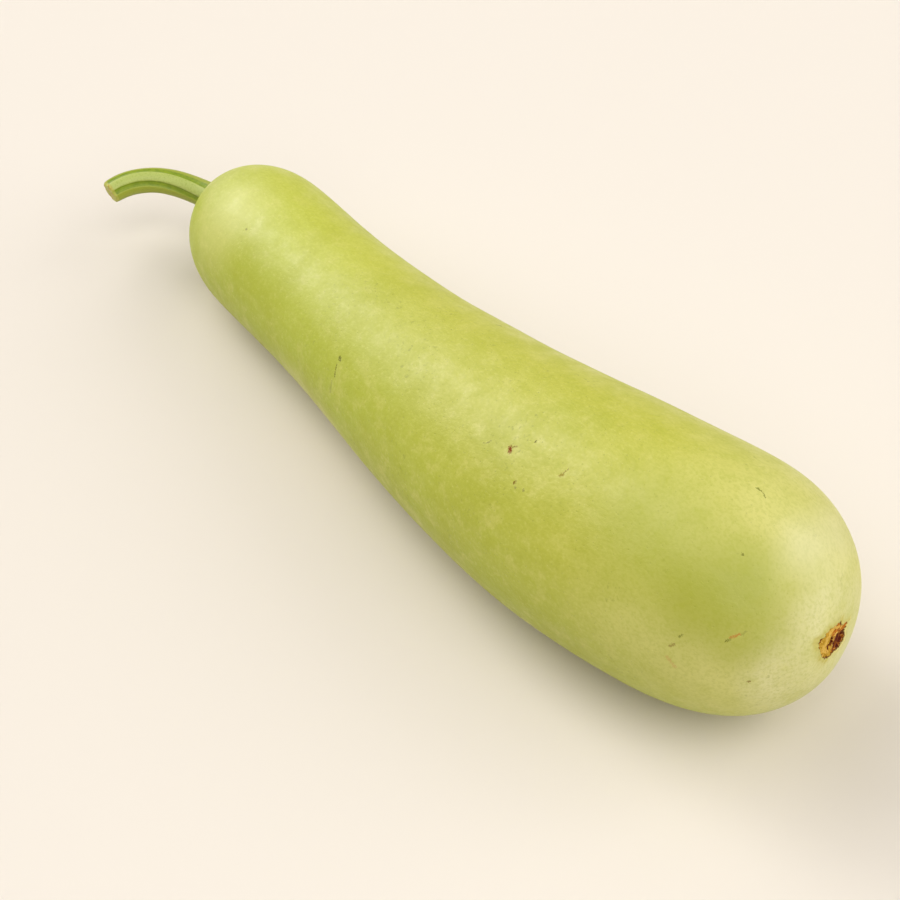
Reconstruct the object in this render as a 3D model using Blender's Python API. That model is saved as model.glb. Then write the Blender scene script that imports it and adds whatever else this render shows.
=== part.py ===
"""A bottle gourd as picked: one long pale green fruit lying on its side, with its cut stem and
the dried scar that the blossom left. Metres, +Z up. The fruit lies along X, stem end at -X."""

import math

import bmesh
import bpy
from mathutils import Matrix, Vector
from mathutils.bvhtree import BVHTree

# The fruit, measured along its own axis from the stem end to the blossom end.
FRUIT_LENGTH = 0.350
NECK_RADIUS = 0.031
BELLY_RADIUS = 0.047
SWELL_START = 0.075  # the neck starts to widen here
SWELL_END = 0.278  # the belly has its full width here
HEAD_DOME = 0.041  # length of the rounded stem end
HEAD_FULLNESS = 2.25  # 2 is an ellipse, and more is blunter
BLOSSOM_DOME = 0.058
BLOSSOM_FULLNESS = 2.35
BOW = 0.020  # how far the axis bows sideways
HOOK = 0.0105  # how much more it turns at the blossom end than at the stem end
FRUIT_RINGS = 44
FRUIT_SIDES = 48

# At rest the thinner neck dips until it touches the ground as well as the belly.
DIP = math.radians(4.1)
PRESSED_FLAT = 0.0010  # the ripe skin is flattened this deep where it touches the ground

# The stem stands on a flat seat at the pole of the stem end.
SEAT_RADIUS = 0.0085
STEM_RADIUS = 0.0047  # at the cut end
STEM_TAPER = 0.0009  # how much thicker it is at the fruit
FLARE = 0.0020  # extra radius of its foot
FLARE_LENGTH = 0.006
RIB_COUNT = 5
RIB_HEIGHT = 0.0005
STEM_REACH = 0.0350  # from the seat to the cut end, away from the fruit
STEM_SWEEP = 0.0330  # from the seat to the cut end, sideways
STEM_RISE = 0.0010
STEM_PULL = 0.62  # how strongly each end's direction holds, as a share of reach and sweep
STEM_SAG = 0.0052  # it droops this far below its first direction before it turns
STEM_ARCH = 0.0052  # then it arches, and comes down by this much to the cut end
STEM_RINGS = 20
STEM_SIDES = 30

# The scar lies beside the pole of the blossom end, where a line from the middle of that
# dome at these two angles leaves the skin.
SCAR_YAW = math.radians(6.5)
SCAR_PITCH = math.radians(7.5)
SCAR_RADIUS = 0.0070
SCAR_DEPTH = 0.0018
SCAR_PROUD = 0.0003
SCAR_SIDES = 28

GAP = 0.0003  # between pieces that touch

SKIN_COLOUR = (0.56, 0.57, 0.14)
STEM_COLOUR = (0.25, 0.34, 0.06)
SCAR_COLOUR = (0.30, 0.13, 0.035)


def clear_scene():
    for thing in list(bpy.data.objects):
        bpy.data.objects.remove(thing, do_unlink=True)


def material(name, colour, roughness):
    made = bpy.data.materials.new(name)
    made.use_nodes = True
    shader = made.node_tree.nodes["Principled BSDF"]
    shader.inputs["Base Color"].default_value = (*colour, 1)
    shader.inputs["Roughness"].default_value = roughness
    shader.inputs["Metallic"].default_value = 0
    return made


def object_from(name, mesh, finish):
    """An object holding the bmesh, with its faces turned outwards and shaded smooth."""
    bmesh.ops.recalc_face_normals(mesh, faces=mesh.faces)
    data = bpy.data.meshes.new(name)
    mesh.to_mesh(data)
    mesh.free()
    data.shade_smooth()
    data.set_sharp_from_angle(angle=math.radians(40))
    data.materials.append(finish)
    made = bpy.data.objects.new(name, data)
    bpy.context.collection.objects.link(made)
    return made


def smoothstep(t):
    t = min(max(t, 0), 1)
    return t * t * (3 - 2 * t)


def dome(along, length, fullness):
    """A rounded end's share of the full radius at this distance from its pole."""
    inwards = max(1 - along / length, 0)
    return (1 - inwards**fullness) ** (1 / fullness)


def fruit_radius(along):
    swell = smoothstep((along - SWELL_START) / (SWELL_END - SWELL_START))
    full = NECK_RADIUS + (BELLY_RADIUS - NECK_RADIUS) * swell
    head = dome(along, HEAD_DOME, HEAD_FULLNESS)
    blossom = dome(FRUIT_LENGTH - along, BLOSSOM_DOME, BLOSSOM_FULLNESS)
    return full * head * blossom


def fruit_axis(along):
    """The axis bows sideways. k runs from -1 at the stem end to 1 at the blossom end."""
    k = 2 * along / FRUIT_LENGTH - 1
    sideways = BOW * (k * k - 1 / 3) + HOOK * (k**3 - 0.6 * k)
    return Vector((along - FRUIT_LENGTH / 2, sideways, 0))


def axis_direction(along):
    step = 0.0005
    return (fruit_axis(along + step) - fruit_axis(along - step)).normalized()


def ring(mesh, centre, direction, radius_at, sides):
    """A ring of vertices square to direction. radius_at gives the radius at each angle."""
    across = Vector((0, 0, 1)).cross(direction).normalized()
    upwards = direction.cross(across)
    made = []
    for i in range(sides):
        angle = 2 * math.pi * i / sides
        radius = radius_at(angle)
        offset = across * math.cos(angle) * radius + upwards * math.sin(angle) * radius
        made.append(mesh.verts.new(centre + offset))
    return made


def join_rings(mesh, rings):
    for first, second in zip(rings, rings[1:]):
        for i in range(len(first)):
            j = (i + 1) % len(first)
            mesh.faces.new((first[i], first[j], second[j], second[i]))


def close_with_point(mesh, last_ring, place):
    pole = mesh.verts.new(place)
    for i in range(len(last_ring)):
        j = (i + 1) % len(last_ring)
        mesh.faces.new((last_ring[i], last_ring[j], pole))


def seat_distance():
    """Distance from the stem end's pole at which the fruit is as wide as the seat."""
    low, high = 0.0, HEAD_DOME
    for _ in range(40):
        middle = (low + high) / 2
        if fruit_radius(middle) < SEAT_RADIUS:
            low = middle
        else:
            high = middle
    return high


def fruit_mesh():
    """Rings crowd together towards both poles, as lines of latitude seen from the side."""
    mesh = bmesh.new()
    start = seat_distance()
    rings = []
    for i in range(FRUIT_RINGS):
        share = (1 - math.cos(math.pi * i / FRUIT_RINGS)) / 2
        along = start + (FRUIT_LENGTH - start) * share
        radius = fruit_radius(along)
        centre = fruit_axis(along)
        rings.append(ring(mesh, centre, axis_direction(along), lambda angle: radius, FRUIT_SIDES))
    join_rings(mesh, rings)
    mesh.faces.new(rings[0])
    close_with_point(mesh, rings[-1], fruit_axis(FRUIT_LENGTH))
    bmesh.ops.transform(mesh, matrix=Matrix.Rotation(-DIP, 4, "Y"), verts=mesh.verts)
    return mesh


def resting_height(mesh):
    """How far up the fruit goes so that its lowest point is pressed flat by the right depth."""
    return -min(v.co.z for v in mesh.verts) - PRESSED_FLAT


def press_flat(mesh):
    """Cuts off what would lie under the ground, and closes each cut with one flat face."""
    everything = mesh.verts[:] + mesh.edges[:] + mesh.faces[:]
    cut = bmesh.ops.bisect_plane(
        mesh, geom=everything, plane_co=(0, 0, 0), plane_no=(0, 0, 1), clear_inner=True
    )
    rim = [part for part in cut["geom_cut"] if isinstance(part, bmesh.types.BMEdge)]
    bmesh.ops.holes_fill(mesh, edges=rim)
    bmesh.ops.triangulate(mesh, faces=[f for f in mesh.faces if len(f.verts) > 4])


def scar_outline(angle):
    """The scar isn't quite round: it has two or three soft corners."""
    return SCAR_RADIUS * (1 + 0.06 * math.sin(2 * angle + 0.6) + 0.05 * math.sin(3 * angle))


def scar_placement(mesh):
    """A matrix at the scar's middle on the skin, with its Z axis along the skin's normal."""
    middle = fruit_axis(FRUIT_LENGTH - BLOSSOM_DOME)
    middle = Matrix.Rotation(-DIP, 3, "Y") @ middle + Vector((0, 0, resting_height(mesh)))
    towards = Vector(
        (
            math.cos(SCAR_PITCH) * math.cos(SCAR_YAW),
            math.cos(SCAR_PITCH) * math.sin(SCAR_YAW),
            math.sin(SCAR_PITCH),
        )
    )
    lifted = mesh.copy()
    bmesh.ops.translate(lifted, vec=(0, 0, resting_height(mesh)), verts=lifted.verts)
    place, normal, _, _ = BVHTree.FromBMesh(lifted).ray_cast(middle, towards)
    lifted.free()
    if normal.dot(towards) < 0:
        normal = -normal
    return Matrix.Translation(place) @ normal.to_track_quat("Z", "Y").to_matrix().to_4x4()


def disc(outline, low, high, crown):
    """A closed plate from low to high along Z, its top raised by crown in the middle."""
    mesh = bmesh.new()
    up = Vector((0, 0, 1))
    rings = []
    for share, height in ((1, low), (1, high), (0.7, high + 0.5 * crown), (0.35, high + 0.9 * crown)):
        made = []
        for i in range(SCAR_SIDES):
            angle = 2 * math.pi * i / SCAR_SIDES
            reach = outline(angle) * share
            flat = Vector((math.cos(angle) * reach, math.sin(angle) * reach, 0))
            made.append(mesh.verts.new(flat + up * height))
        rings.append(made)
    join_rings(mesh, rings)
    mesh.faces.new(rings[0])
    close_with_point(mesh, rings[-1], up * (high + crown))
    return mesh


def make_fruit(finish):
    """The fruit, with a shallow hollow cut for the scar. Returns it and the scar's placement."""
    mesh = fruit_mesh()
    placement = scar_placement(mesh)
    height = resting_height(mesh)
    bmesh.ops.translate(mesh, vec=(0, 0, height), verts=mesh.verts)
    press_flat(mesh)
    fruit = object_from("fruit", mesh, finish)

    hollow = disc(lambda angle: scar_outline(angle) + GAP, -SCAR_DEPTH, 3 * SCAR_DEPTH, 0.0005)
    cutter = object_from("scar_hollow_cutter", hollow, finish)
    cutter.matrix_world = placement
    cutter.hide_render = True
    cutter.display_type = "WIRE"
    cut = fruit.modifiers.new("scar_hollow", "BOOLEAN")
    cut.operation = "DIFFERENCE"
    cut.object = cutter
    return fruit, cutter, placement, height


def make_scar(finish, placement):
    """The dried, corky remains of the blossom, set into the skin."""
    fall = SCAR_RADIUS**2 / (2 * BELLY_RADIUS)  # the skin falls away this far at the rim
    mesh = disc(scar_outline, -SCAR_DEPTH + GAP, SCAR_PROUD - fall, fall)
    scar = object_from("blossom_scar", mesh, finish)
    scar.matrix_world = placement
    return scar


def stem_line(t, foot, outwards):
    """A cubic curve: straight out of the fruit, then a quarter turn sideways to the cut end."""
    tip = foot + Vector((-STEM_REACH, -STEM_SWEEP, STEM_RISE))
    first = foot + outwards * STEM_PULL * STEM_REACH - Vector((0, 0, STEM_SAG))
    second = tip + Vector((0, STEM_PULL * STEM_SWEEP, STEM_ARCH))
    u = 1 - t
    return foot * u**3 + first * 3 * u * u * t + second * 3 * u * t * t + tip * t**3


def stem_heading(t, foot, outwards):
    """The direction that the stem runs in. Its foot stands square on the seat."""
    if t == 0:
        return outwards
    step = 0.001
    ahead = stem_line(min(t + step, 1), foot, outwards)
    return (ahead - stem_line(t - step, foot, outwards)).normalized()


def make_stem(finish, height):
    """A five-ribbed green stalk with a flared foot, cut straight across."""
    along = seat_distance()
    turned = Matrix.Rotation(-DIP, 3, "Y")
    outwards = turned @ -axis_direction(along)
    seat = turned @ fruit_axis(along) + Vector((0, 0, height))
    foot = seat + outwards * GAP
    mesh = bmesh.new()
    rings = []
    for i in range(STEM_RINGS):
        t = i / (STEM_RINGS - 1)
        centre = stem_line(t, foot, outwards)
        out = (centre - foot).length
        plain = STEM_RADIUS + STEM_TAPER * (1 - t) + FLARE * max(1 - out / FLARE_LENGTH, 0) ** 2

        def ribbed(angle):
            return plain + RIB_HEIGHT * math.cos(RIB_COUNT * angle)

        rings.append(ring(mesh, centre, stem_heading(t, foot, outwards), ribbed, STEM_SIDES))
    join_rings(mesh, rings)
    mesh.faces.new(rings[0])
    mesh.faces.new(rings[-1])
    return object_from("stem", mesh, finish)


def points_of(thing):
    bpy.context.view_layer.update()
    return [thing.matrix_world @ vertex.co for vertex in thing.data.vertices]


def gather(pieces, cutter):
    """Hangs everything on one empty, so that the origin lies under the middle of the whole."""
    points = [point for piece in pieces for point in points_of(piece)]
    middle = [(min(p[i] for p in points) + max(p[i] for p in points)) / 2 for i in range(2)]
    gourd = bpy.data.objects.new("gourd", None)
    bpy.context.collection.objects.link(gourd)
    for piece in (*pieces, cutter):
        piece.parent = gourd
    gourd.location = (-middle[0], -middle[1], 0)


def main():
    clear_scene()
    skin = material("skin", SKIN_COLOUR, 0.45)
    stem_green = material("stem_green", STEM_COLOUR, 0.55)
    cork = material("scar_cork", SCAR_COLOUR, 0.85)
    fruit, cutter, placement, height = make_fruit(skin)
    scar = make_scar(cork, placement)
    stem = make_stem(stem_green, height)
    gather((fruit, stem, scar), cutter)


main()
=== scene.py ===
import math

import bmesh
import bpy
from mathutils import Matrix, Vector, noise
from mathutils.bvhtree import BVHTree


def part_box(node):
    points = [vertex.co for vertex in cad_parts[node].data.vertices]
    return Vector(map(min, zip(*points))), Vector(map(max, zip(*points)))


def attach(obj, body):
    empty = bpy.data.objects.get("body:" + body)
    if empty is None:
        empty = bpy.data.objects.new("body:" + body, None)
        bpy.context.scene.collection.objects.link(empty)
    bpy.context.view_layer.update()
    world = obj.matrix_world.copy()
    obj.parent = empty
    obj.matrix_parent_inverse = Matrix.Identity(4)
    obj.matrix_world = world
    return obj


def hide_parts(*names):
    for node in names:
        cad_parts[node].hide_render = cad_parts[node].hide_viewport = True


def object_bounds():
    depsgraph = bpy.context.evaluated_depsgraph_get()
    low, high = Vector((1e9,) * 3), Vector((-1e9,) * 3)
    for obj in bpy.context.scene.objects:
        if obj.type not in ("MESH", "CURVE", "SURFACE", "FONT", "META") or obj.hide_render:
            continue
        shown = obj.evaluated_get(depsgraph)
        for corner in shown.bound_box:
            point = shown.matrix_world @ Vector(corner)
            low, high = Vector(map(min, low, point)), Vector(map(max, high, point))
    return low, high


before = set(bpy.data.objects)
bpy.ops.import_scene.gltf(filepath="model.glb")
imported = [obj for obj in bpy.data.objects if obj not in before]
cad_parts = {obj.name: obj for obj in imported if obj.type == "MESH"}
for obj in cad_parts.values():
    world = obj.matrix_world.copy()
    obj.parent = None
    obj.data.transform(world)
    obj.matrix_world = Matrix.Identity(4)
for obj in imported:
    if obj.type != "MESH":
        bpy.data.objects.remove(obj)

cad_low, cad_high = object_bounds()


# ---- The fruit ------------------------------------------------------------------------------
# The gourd's one grown body: a slim neck that swells into a full belly, in a thin waxy skin.
# It is drawn out ring by ring from the seat of its stem, smoothed, laid down, and pressed flat
# where it rests. Then its growth marks are worked in.

FRUIT_LENGTH = 0.350  # along its own axis, from the stem end to the blossom end
NECK_RADIUS = 0.031
BELLY_RADIUS = 0.047
SWELL_START = 0.075
SWELL_END = 0.278
HEAD_DOME = 0.041
HEAD_FULLNESS = 2.25  # 2 is an ellipse, and more is blunter
BLOSSOM_DOME = 0.058
BLOSSOM_FULLNESS = 2.35
BOW = 0.020
HOOK = 0.0105
DIP = math.radians(4.1)  # the neck dips until it rests on the ground as the belly does
LAID_DOWN = Matrix.Rotation(-DIP, 3, "Y")
SEAT_RADIUS = 0.0085  # the flat under the stem
CAP_RADIUS = 0.020  # the rings stop here, and a grid of faces closes the blossom end
FRUIT_RINGS = 36
FRUIT_SIDES = 48


def smoothstep(t):
    t = min(max(t, 0), 1)
    return t * t * (3 - 2 * t)


def dome(along, length, fullness):
    """A rounded end's share of the full radius at this distance from its pole."""
    inwards = max(1 - along / length, 0)
    return (1 - inwards**fullness) ** (1 / fullness)


def fruit_radius(along):
    swell = smoothstep((along - SWELL_START) / (SWELL_END - SWELL_START))
    full = NECK_RADIUS + (BELLY_RADIUS - NECK_RADIUS) * swell
    head = dome(along, HEAD_DOME, HEAD_FULLNESS)
    return full * head * dome(FRUIT_LENGTH - along, BLOSSOM_DOME, BLOSSOM_FULLNESS)


def fruit_axis(along):
    """The axis bows sideways. k runs from -1 at the stem end to 1 at the blossom end."""
    k = 2 * along / FRUIT_LENGTH - 1
    sideways = BOW * (k * k - 1 / 3) + HOOK * (k**3 - 0.6 * k)
    return Vector((along - FRUIT_LENGTH / 2, sideways, 0))


def axis_direction(along):
    step = 0.0005
    return (fruit_axis(along + step) - fruit_axis(along - step)).normalized()


def heading(along):
    direction = axis_direction(along)
    return math.atan2(direction.y, direction.x)


def distance_where(radius, near, far):
    """Distance from the stem end's pole at which the fruit has this radius, between two ends."""
    for _ in range(40):
        middle = (near + far) / 2
        if fruit_radius(middle) < radius:
            near = middle
        else:
            far = middle
    return far


def nothing_selected():
    if bpy.context.object and bpy.context.object.mode != "OBJECT":
        bpy.ops.object.mode_set(mode="OBJECT")
    bpy.ops.object.select_all(action="DESELECT")


def work_on(thing):
    nothing_selected()
    thing.select_set(True)
    bpy.context.view_layer.objects.active = thing


def pick(thing, wanted, kind="VERT"):
    """Opens thing for editing with only the vertices, edges or faces that wanted() accepts."""
    work_on(thing)
    bpy.ops.object.mode_set(mode="EDIT")
    bpy.ops.mesh.select_mode(type=kind)
    bpy.ops.mesh.select_all(action="DESELECT")
    edited = bmesh.from_edit_mesh(thing.data)
    parts = {"VERT": edited.verts, "EDGE": edited.edges, "FACE": edited.faces}[kind]
    for part in parts:
        part.select_set(wanted(part))
    edited.select_flush_mode()
    bmesh.update_edit_mesh(thing.data)


def apply_modifiers(thing):
    work_on(thing)
    for modifier in list(thing.modifiers):
        bpy.ops.object.modifier_apply(modifier=modifier.name)


def start_tube(sides, radius, place, turn):
    """A ring of this many sides, closed by a grid of faces, with its edges picked to draw out."""
    nothing_selected()
    bpy.ops.mesh.primitive_circle_add(
        vertices=sides, radius=radius, location=place, rotation=(0, math.radians(90), turn)
    )
    made = bpy.context.object
    bpy.ops.object.transform_apply(location=True, rotation=True, scale=True)
    pick(made, lambda vertex: True)
    bpy.ops.mesh.fill_grid(span=sides // 4)
    pick(made, lambda edge: edge.is_boundary, "EDGE")
    return made


def draw_out(step, centre, grow):
    """Extrudes the picked ring by this step, then widens or narrows it round its centre."""
    bpy.ops.mesh.extrude_edges_move(TRANSFORM_OT_translate={"value": step})
    bpy.ops.transform.resize(value=(grow, grow, grow), center_override=centre)


def close_end(span):
    """Closes the picked ring with a grid of faces, and turns every face outwards."""
    bpy.ops.mesh.fill_grid(span=span)
    bpy.ops.mesh.select_all(action="SELECT")
    bpy.ops.mesh.normals_make_consistent(inside=False)
    bpy.ops.object.mode_set(mode="OBJECT")


def draw_out_fruit():
    """Draws a ring out from the stem's seat along the bowed axis, and closes the blossom end."""
    first = distance_where(SEAT_RADIUS, 0, HEAD_DOME)
    last = distance_where(CAP_RADIUS, FRUIT_LENGTH, FRUIT_LENGTH - BLOSSOM_DOME)
    made = start_tube(FRUIT_SIDES, SEAT_RADIUS, fruit_axis(first), heading(first))
    here = first
    for i in range(1, FRUIT_RINGS + 1):
        share = (1 - math.cos(math.pi * i / FRUIT_RINGS)) / 2
        ahead = first + (last - first) * share
        centre = fruit_axis(ahead)
        draw_out(centre - fruit_axis(here), centre, fruit_radius(ahead) / fruit_radius(here))
        turn = heading(ahead) - heading(here)
        bpy.ops.transform.rotate(value=-turn, orient_axis="Z", center_override=centre)
        here = ahead
    close_end(FRUIT_SIDES // 4)
    return made, last


def round_the_cap(made, last):
    """Lifts the grid that closes the blossom end onto the dome."""
    outwards = axis_direction(last)
    rim = fruit_axis(last)
    for vertex in made.data.vertices:
        ahead = (vertex.co - rim).dot(outwards)
        if ahead > -1e-6:
            aside = (vertex.co - rim) - outwards * ahead
            if aside.length < CAP_RADIUS * 0.999:
                level = distance_where(aside.length, FRUIT_LENGTH, FRUIT_LENGTH - BLOSSOM_DOME)
                vertex.co = rim + aside + outwards * (level - last)


def add_subdivision(made, levels):
    smoother = made.modifiers.new("smooth", "SUBSURF")
    smoother.levels = levels
    smoother.render_levels = levels


gourd, cap_start = draw_out_fruit()
gourd.name = "gourd_skin"
round_the_cap(gourd, cap_start)
add_subdivision(gourd, 2)
apply_modifiers(gourd)


def middle_and_top(low, high):
    return Vector((high.x, (low.y + high.y) / 2, high.z))


def lay_down(made):
    """Turns the neck down and moves the fruit to its place over the ground."""
    pick(made, lambda vertex: True)
    bpy.ops.transform.rotate(value=DIP, orient_axis="Y", center_override=(0, 0, 0))
    bpy.ops.object.mode_set(mode="OBJECT")
    places = [vertex.co for vertex in made.data.vertices]
    low = Vector([min(place[i] for place in places) for i in range(3)])
    high = Vector([max(place[i] for place in places) for i in range(3)])
    shift = middle_and_top(*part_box("fruit")) - middle_and_top(low, high)
    pick(made, lambda vertex: True)
    bpy.ops.transform.translate(value=shift)
    pick(made, lambda vertex: vertex.co.z < 0)
    bpy.ops.transform.resize(value=(1, 1, 0), center_override=(0, 0, 0))
    bpy.ops.object.mode_set(mode="OBJECT")
    return shift


fruit_shift = lay_down(gourd)


def on_skin(along, around):
    """The place on the laid fruit at this distance from its stem end, this many degrees round
    from its side at +Y, over the top."""
    direction = axis_direction(along)
    across = Vector((0, 0, 1)).cross(direction).normalized()
    angle = math.radians(around)
    upwards = direction.cross(across)
    out = (across * math.cos(angle) + upwards * math.sin(angle)) * fruit_radius(along)
    place = LAID_DOWN @ (fruit_axis(along) + out) + fruit_shift
    return gourd.closest_point_on_mesh(place)[1].copy()


def press_in(made, depth_at):
    """Moves each point of the surface inwards by depth_at(place)."""
    moves = []
    for vertex in made.data.vertices:
        depth = depth_at(vertex.co)
        if depth:
            moves.append((vertex, vertex.normal * -depth))
    for vertex, move in moves:
        vertex.co += move
        vertex.co.z = max(vertex.co.z, 0)


SWELL = 0.00032  # the broad hollows are measured from this far outside
GROUNDED = 0.012  # they die away below this height, where the fruit rests
UNEVEN_SPREAD = 0.045
UNEVEN_DEPTH = 0.0006
LUMP_SPREAD = 0.016
LUMP_DEPTH = 0.00016
# Soft dents: distance along, degrees round, reach and depth.
DENTS = (
    (0.345, -147, 0.022, 0.0011),
    (0.025, 161, 0.020, 0.0007),
    (0.215, 100, 0.030, 0.0004),
)


def fade(distance, reach):
    """1 at no distance, falling softly to nothing at about twice the reach."""
    return math.exp(-((distance / reach) ** 2))


def growth():
    """The skin is never quite even: broad soft hollows, faint lumps on them, and a few dents."""
    dents = [(on_skin(along, around), reach, deep) for along, around, reach, deep in DENTS]

    def depth_at(place):
        broad = noise.noise(place / UNEVEN_SPREAD)
        fine = noise.noise(place / LUMP_SPREAD + Vector((7, 3, 5)))
        depth = UNEVEN_DEPTH * (0.5 + 0.5 * broad) + LUMP_DEPTH * (0.5 + 0.5 * fine) - SWELL
        for middle, reach, deep in dents:
            depth += deep * fade((place - middle).length, reach)
        return depth * smoothstep(place.z / GROUNDED)

    return depth_at


press_in(gourd, growth())


def refine(made, middles, reach):
    """Halves the faces within reach of any of these places, for finer work there."""
    near = [(middle.x, middle.y, middle.z) for middle in middles]

    def wanted(face):
        x, y, z = face.calc_center_median()
        for a, b, c in near:
            if abs(x - a) < reach and (x - a) ** 2 + (y - b) ** 2 + (z - c) ** 2 < reach * reach:
                return True
        return False

    pick(made, wanted, "FACE")
    bpy.ops.mesh.subdivide(number_cuts=1)
    bpy.ops.object.mode_set(mode="OBJECT")


# Round the foot of the stem the skin is drawn up and puckered into five shallow furrows.
PUCKERS = 5
PUCKER_REACH = 0.0085
PUCKER_DEPTH = 0.0007
PUCKER_START = 0.006  # they are at their full depth from here outwards
PUCKER_END = 0.024  # no pucker shows further from the seat's middle than this
SEAT_FINE = 0.018  # the skin is worked finely this far round the seat

seat_at = distance_where(SEAT_RADIUS, 0, HEAD_DOME)
seat_middle = LAID_DOWN @ fruit_axis(seat_at) + fruit_shift
seat_outwards = LAID_DOWN @ -axis_direction(seat_at)
seat_across = Vector((0, 0, 1)).cross(seat_outwards).normalized()
seat_upwards = seat_outwards.cross(seat_across)
refine(gourd, [seat_middle], SEAT_FINE)


def pucker(place):
    offset = place - seat_middle
    if offset.length > PUCKER_END:
        return 0
    angle = math.atan2(offset.dot(seat_upwards), offset.dot(seat_across))
    reach = max(offset.length - SEAT_RADIUS * 0.8, 0)
    furrow = 0.5 - 0.5 * math.cos(PUCKERS * angle)
    return PUCKER_DEPTH * furrow * fade(reach, PUCKER_REACH) * smoothstep(offset.length / PUCKER_START)


press_in(gourd, pucker)

# The blossom left a ragged scar. The skin sinks a little towards it, ends in a torn lip round a
# shallow hollow, and is drawn into short folds. Angles are in degrees in the scar's own plane.
SCAR_RADIUS = 0.0066
SCAR_TONGUES = (  # angle, spread in degrees, how much further the scar reaches there
    (3, 8, 0.0048),
    (-38, 27, 0.0033),
    (-108, 20, 0.0009),
    (153, 24, 0.0017),
    (80, 18, -0.0010),
    (-92, 18, -0.0005),
)
SCAR_RAGGED = 0.0008
HOLLOW_DEPTH = 0.0021
HOLLOW_WALL = 0.0006  # how far in from the edge the hollow reaches its depth
LIP_HEIGHT = 0.00030
LIP_WIDTH = 0.0008
SINK_DEPTH = 0.00035
SINK_REACH = 0.010
SCAR_SHIFT = Vector((0, 0.0011, -0.0008))  # from the middle of the scar's own box
SCAR_FINE = (0.021, 0.0150, 0.0100)  # the skin is halved again within each of these
HOLLOW_END = 0.022  # nothing is sunk further from the scar's middle than this
STAIN_END = 0.024  # and nothing is stained further than this
FOLD_WANDER = 3  # degrees
FOLD_FULL_STAIN = 0.0003  # a fold this deep stains the skin fully
FOLD_STAIN_SPREAD = 2.2  # and does so this many times as wide as it is
FOLDS = (  # angle, spread in degrees, length, depth
    (141, 8, 0.0052, 0.00045),
    (152, 7, 0.0040, 0.00036),
    (-157, 5, 0.0030, 0.00026),
    (-134, 4, 0.0022, 0.00020),
    (-117, 5, 0.0034, 0.00026),
    (-86, 4, 0.0020, 0.00016),
    (-62, 5, 0.0026, 0.00018),
    (-24, 5, 0.0028, 0.00020),
    (21, 6, 0.0026, 0.00020),
    (41, 5, 0.0034, 0.00026),
    (74, 5, 0.0024, 0.00018),
    (103, 5, 0.0028, 0.00022),
    (124, 4, 0.0020, 0.00018),
)

scar_low, scar_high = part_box("blossom_scar")
scar_guess = (scar_low + scar_high) / 2 + SCAR_SHIFT
_, scar_middle, scar_normal, _ = gourd.closest_point_on_mesh(scar_guess)
scar_middle = scar_middle.copy()
scar_normal = scar_normal.copy()
scar_across = Vector((0, 0, 1)).cross(scar_normal).normalized()
scar_upwards = scar_normal.cross(scar_across)
for scar_reach in SCAR_FINE:
    refine(gourd, [scar_middle], scar_reach)


def turned_from(angle, other):
    """Degrees between two angles, the short way round."""
    return abs((angle - other + 180) % 360 - 180)


def scar_edge(angle):
    """The scar's reach at an angle in degrees: nearly round, ragged, with a few torn tongues."""
    reach = SCAR_RADIUS
    for at, spread, length in SCAR_TONGUES:
        reach += length * fade(turned_from(angle, at), spread)
    around = Vector((math.cos(math.radians(angle)), math.sin(math.radians(angle)), 0))
    ragged = noise.noise(around * 4) + 0.6 * noise.noise(around * 11) + 0.5 * noise.noise(around * 30)
    return reach + SCAR_RAGGED * ragged


def scar_polar(place):
    """Distance from the scar's middle, and the angle in degrees, seen square to the skin."""
    offset = place - scar_middle
    across = offset.dot(scar_across)
    upwards = offset.dot(scar_upwards)
    return math.hypot(across, upwards), math.degrees(math.atan2(upwards, across))


def fold_share(distance, angle):
    """How deep the folds are at a place outside the scar, and how much they stain the skin."""
    beyond = distance - scar_edge(angle)
    deep = 0
    stain = 0
    for at, spread, length, depth in FOLDS:
        wander = FOLD_WANDER * noise.noise(Vector((at, distance * 400, 0)))
        turned = turned_from(angle, at + wander)
        narrow = spread * SCAR_RADIUS / max(distance, SCAR_RADIUS)
        along = smoothstep(1 - beyond / length)
        deep += depth * fade(turned, narrow) * along
        stain += depth / FOLD_FULL_STAIN * fade(turned, FOLD_STAIN_SPREAD * narrow) * along
    return deep, min(stain, 1)


def scar_hollow(place):
    if (place - scar_middle).length > HOLLOW_END:
        return 0
    distance, angle = scar_polar(place)
    edge = scar_edge(angle)
    sink = SINK_DEPTH * fade(distance, SINK_REACH)
    if distance < edge:
        return sink + HOLLOW_DEPTH * smoothstep((edge - distance) / HOLLOW_WALL)
    torn = 0.6 + 0.6 * noise.noise(place * 900)
    lip = LIP_HEIGHT * torn * fade(distance - edge - LIP_WIDTH / 2, LIP_WIDTH)
    return sink + fold_share(distance, angle)[0] - lip


smooth_skin = BVHTree.FromObject(gourd, bpy.context.evaluated_depsgraph_get())
press_in(gourd, scar_hollow)

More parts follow.
